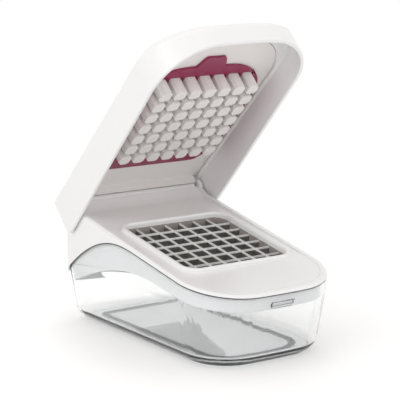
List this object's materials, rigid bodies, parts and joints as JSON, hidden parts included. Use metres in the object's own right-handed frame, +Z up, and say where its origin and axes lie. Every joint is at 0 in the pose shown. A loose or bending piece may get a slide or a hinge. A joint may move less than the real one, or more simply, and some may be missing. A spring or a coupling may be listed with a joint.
{
  "type": "vegetable chopper",
  "caption": "Vegetable chopper: a hinged lid with square posts pushes food through a blade grid into a clear catch container below.",
  "frame": {"origin": "on the ground under the middle of the open chopper", "axes": "+Z up, +Y to the hinge at the rear, +X to the right seen from the front"},
  "size_m": [0.1244, 0.2006, 0.2253],
  "materials": {
    "clear_plastic": "clear moulded plastic",
    "grip_rubber": "matte non-slip rubber",
    "white_plastic": "satin white moulded plastic",
    "warm_white_plastic": "soft matte off-white plastic",
    "grey_plastic": "matte grey plastic",
    "blade_steel": "ground stainless strip with bright edges",
    "pin_steel": "turned steel",
    "magenta_plastic": "magenta moulded plastic"
  },
  "bodies": {
    "container": {"catch_container": "clear_plastic", "base_grip_ring": "grip_rubber"},
    "frame": {"top_frame": "white_plastic", "blade_holder": "grey_plastic", "long_blade_1": "blade_steel", "long_blade_2": "blade_steel", "long_blade_3": "blade_steel", "long_blade_4": "blade_steel", "long_blade_5": "blade_steel", "long_blade_6": "blade_steel", "cross_blade_1": "blade_steel", "cross_blade_2": "blade_steel", "cross_blade_3": "blade_steel", "cross_blade_4": "blade_steel", "cross_blade_5": "blade_steel", "cross_blade_6": "blade_steel", "hinge_pin_left": "pin_steel", "hinge_pin_right": "pin_steel"},
    "lid": {"lid_shell": "white_plastic", "pusher_panel": "warm_white_plastic", "pusher_fingers": "warm_white_plastic"},
    "grate": {"cleaning_grate": "magenta_plastic"}
  },
  "joints": [
    {"name": "top_lift", "type": "slide", "parent": "container", "child": "frame", "axis": [0, 0, 1], "range_m": [0, 0.045]},
    {"name": "lid_hinge", "type": "hinge", "parent": "frame", "child": "lid", "pos_m": [0, 0.0839, 0.08701], "axis": [1, 0, 0], "range_deg": [-36, 54.2]},
    {"name": "grate_slide", "type": "slide", "parent": "lid", "child": "grate", "axis": [0, -0.6947, -0.7193], "range_m": [0, 0.005]}
  ]
}
